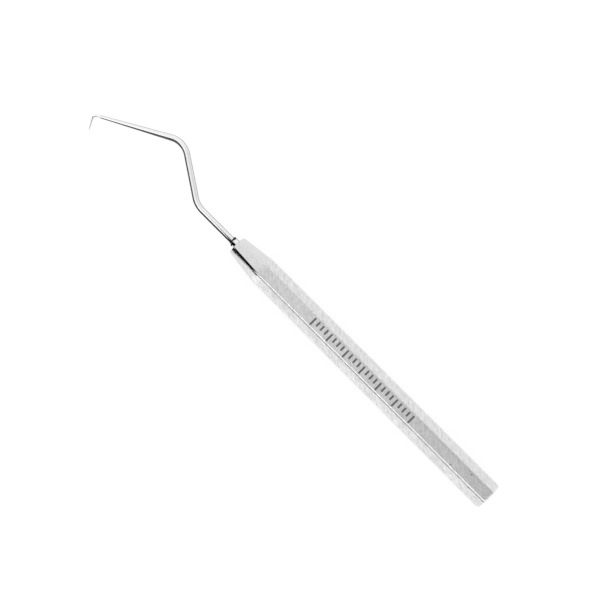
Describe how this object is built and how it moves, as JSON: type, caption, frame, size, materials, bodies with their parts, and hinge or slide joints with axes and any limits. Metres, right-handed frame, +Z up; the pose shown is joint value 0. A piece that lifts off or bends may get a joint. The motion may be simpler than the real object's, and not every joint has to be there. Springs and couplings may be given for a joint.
{
  "type": "dental explorer",
  "caption": "Single-ended dental explorer: octagonal hollow steel handle with a tapered neck and a cranked, tapered wire that ends in a fine hook.",
  "frame": {"origin": "middle of the handle's lower flat, the flat that the instrument lies on", "axes": "+X along the handle towards the hooked point, +Z up from the lower flat, +Y to the side that the point hooks towards"},
  "size_m": [0.167, 0.0183, 0.009],
  "materials": {
    "satin_handle": "satin-ground stainless steel, polished on the tapered neck",
    "satin_plug": "stainless steel, faced off flush with the handle's end",
    "polished_ferrule": "polished stainless steel",
    "silver_braze": "dull silver braze, darkened by flux",
    "polished_wire": "polished hardened stainless wire"
  },
  "bodies": {
    "root": {"handle": "satin_handle", "butt_plug": "satin_plug", "ferrule": "polished_ferrule", "braze_fillet": "silver_braze", "explorer_wire": "polished_wire"}
  },
  "joints": []
}
